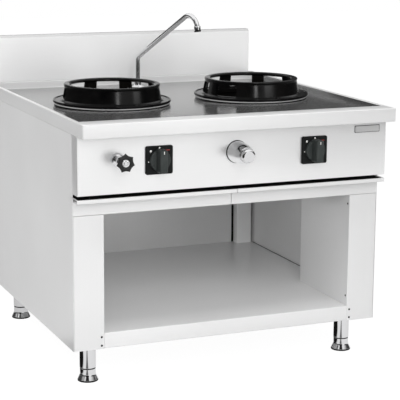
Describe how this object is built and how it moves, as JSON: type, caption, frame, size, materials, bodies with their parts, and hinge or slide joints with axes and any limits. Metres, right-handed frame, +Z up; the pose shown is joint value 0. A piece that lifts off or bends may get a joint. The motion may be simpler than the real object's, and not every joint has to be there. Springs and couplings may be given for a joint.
{
  "type": "wok range",
  "caption": "Free-standing stainless steel gas wok range with cast iron wok rings, open cabinet, low backsplash and swivel tap.",
  "frame": {"origin": "on the floor, at the middle of the outline seen from above", "axes": "+X to the right seen from the front, +Y to the rear, +Z up"},
  "size_m": [1.1, 1.189, 1.1608],
  "materials": {
    "satin_steel": "satin brushed",
    "worktop_steel": "satin brushed, brighter on the rim",
    "bowl_steel": "heat tinted",
    "black_cast_iron": "glossy black enamel",
    "burner_iron": "rough casting",
    "dark_plastic": "matte, finely grained",
    "black_rubber": "matt",
    "chrome": "polished",
    "nameplate_steel": "blank satin plate",
    "pipe_steel": "drawn tube",
    "brass": "machined"
  },
  "bodies": {
    "range": {"backsplash": "satin_steel", "base_beam_left": "satin_steel", "base_beam_right": "satin_steel", "bottom_shelf": "satin_steel", "burner_bowl_left": "bowl_steel", "burner_bowl_right": "bowl_steel", "burner_box_floor": "satin_steel", "burner_feed_left": "brass", "burner_feed_right": "brass", "burner_left": "burner_iron", "burner_right": "burner_iron", "control_panel": "satin_steel", "front_column_left": "satin_steel", "front_column_right": "satin_steel", "gas_manifold": "pipe_steel", "gas_tap_left": "brass", "gas_tap_right": "brass", "knob_plate_left": "dark_plastic", "knob_plate_right": "dark_plastic", "leg_front_left": "chrome", "leg_front_right": "chrome", "leg_rear_left": "chrome", "leg_rear_right": "chrome", "nameplate": "nameplate_steel", "panel_lip_left": "satin_steel", "panel_lip_right": "satin_steel", "pilot_burner_left": "brass", "pilot_burner_right": "brass", "push_valve": "chrome", "rear_panel_lower": "satin_steel", "rear_panel_upper": "satin_steel", "rear_post_left": "satin_steel", "rear_post_right": "satin_steel", "seat_ring_left": "black_cast_iron", "seat_ring_right": "black_cast_iron", "side_panel_left": "satin_steel", "side_panel_right": "satin_steel", "stop_valve": "brass", "tap_base": "chrome", "tap_riser_pipe": "pipe_steel", "top_rail_left": "satin_steel", "top_rail_right": "satin_steel", "valve_link_pipe": "pipe_steel", "water_supply_pipe": "pipe_steel", "worktop": "worktop_steel"},
    "knob_left": {"knob_left": "dark_plastic"},
    "knob_right": {"knob_right": "dark_plastic"},
    "handwheel": {"handwheel": "dark_plastic"},
    "push_button": {"push_button": "chrome"},
    "tap_spout": {"tap_spout": "chrome"},
    "wok_ring_left": {"wok_ring_left": "black_cast_iron"},
    "wok_ring_right": {"wok_ring_right": "black_cast_iron"},
    "foot_front_left": {"foot_front_left": "chrome", "foot_pad_front_left": "black_rubber"},
    "foot_front_right": {"foot_front_right": "chrome", "foot_pad_front_right": "black_rubber"},
    "foot_rear_left": {"foot_rear_left": "chrome", "foot_pad_rear_left": "black_rubber"},
    "foot_rear_right": {"foot_rear_right": "chrome", "foot_pad_rear_right": "black_rubber"}
  },
  "joints": [
    {"name": "knob_left_turn", "type": "hinge", "parent": "range", "child": "knob_left", "pos_m": [-0.276, -0.5055, 0.7517], "axis": [0, -1, 0], "range_deg": [0, 100]},
    {"name": "knob_right_turn", "type": "hinge", "parent": "range", "child": "knob_right", "pos_m": [0.276, -0.5055, 0.7517], "axis": [0, -1, 0], "range_deg": [0, 100]},
    {"name": "handwheel_turn", "type": "hinge", "parent": "range", "child": "handwheel", "pos_m": [-0.416, -0.5655, 0.7617], "axis": [0, -1, 0], "range_deg": [0, 720]},
    {"name": "push_button_press", "type": "slide", "parent": "range", "child": "push_button", "axis": [0, 1, 0], "range_m": [0, 0.008], "stiffness_N_per_m": 2500, "springref_m": -0.006},
    {"name": "tap_spout_swivel", "type": "hinge", "parent": "range", "child": "tap_spout", "pos_m": [0, 0.4415, 0.9], "axis": [0, 0, 1], "range_deg": [-105, 75]},
    {"name": "wok_ring_left_lift", "type": "slide", "parent": "range", "child": "wok_ring_left", "axis": [0, 0, 1], "range_m": [0, 0.12]},
    {"name": "wok_ring_right_lift", "type": "slide", "parent": "range", "child": "wok_ring_right", "axis": [0, 0, 1], "range_m": [0, 0.12]},
    {"name": "foot_front_left_adjust", "type": "slide", "parent": "range", "child": "foot_front_left", "axis": [0, 0, -1], "range_m": [0, 0.04]},
    {"name": "foot_front_right_adjust", "type": "slide", "parent": "range", "child": "foot_front_right", "axis": [0, 0, -1], "range_m": [0, 0.04]},
    {"name": "foot_rear_left_adjust", "type": "slide", "parent": "range", "child": "foot_rear_left", "axis": [0, 0, -1], "range_m": [0, 0.04]},
    {"name": "foot_rear_right_adjust", "type": "slide", "parent": "range", "child": "foot_rear_right", "axis": [0, 0, -1], "range_m": [0, 0.04]}
  ]
}
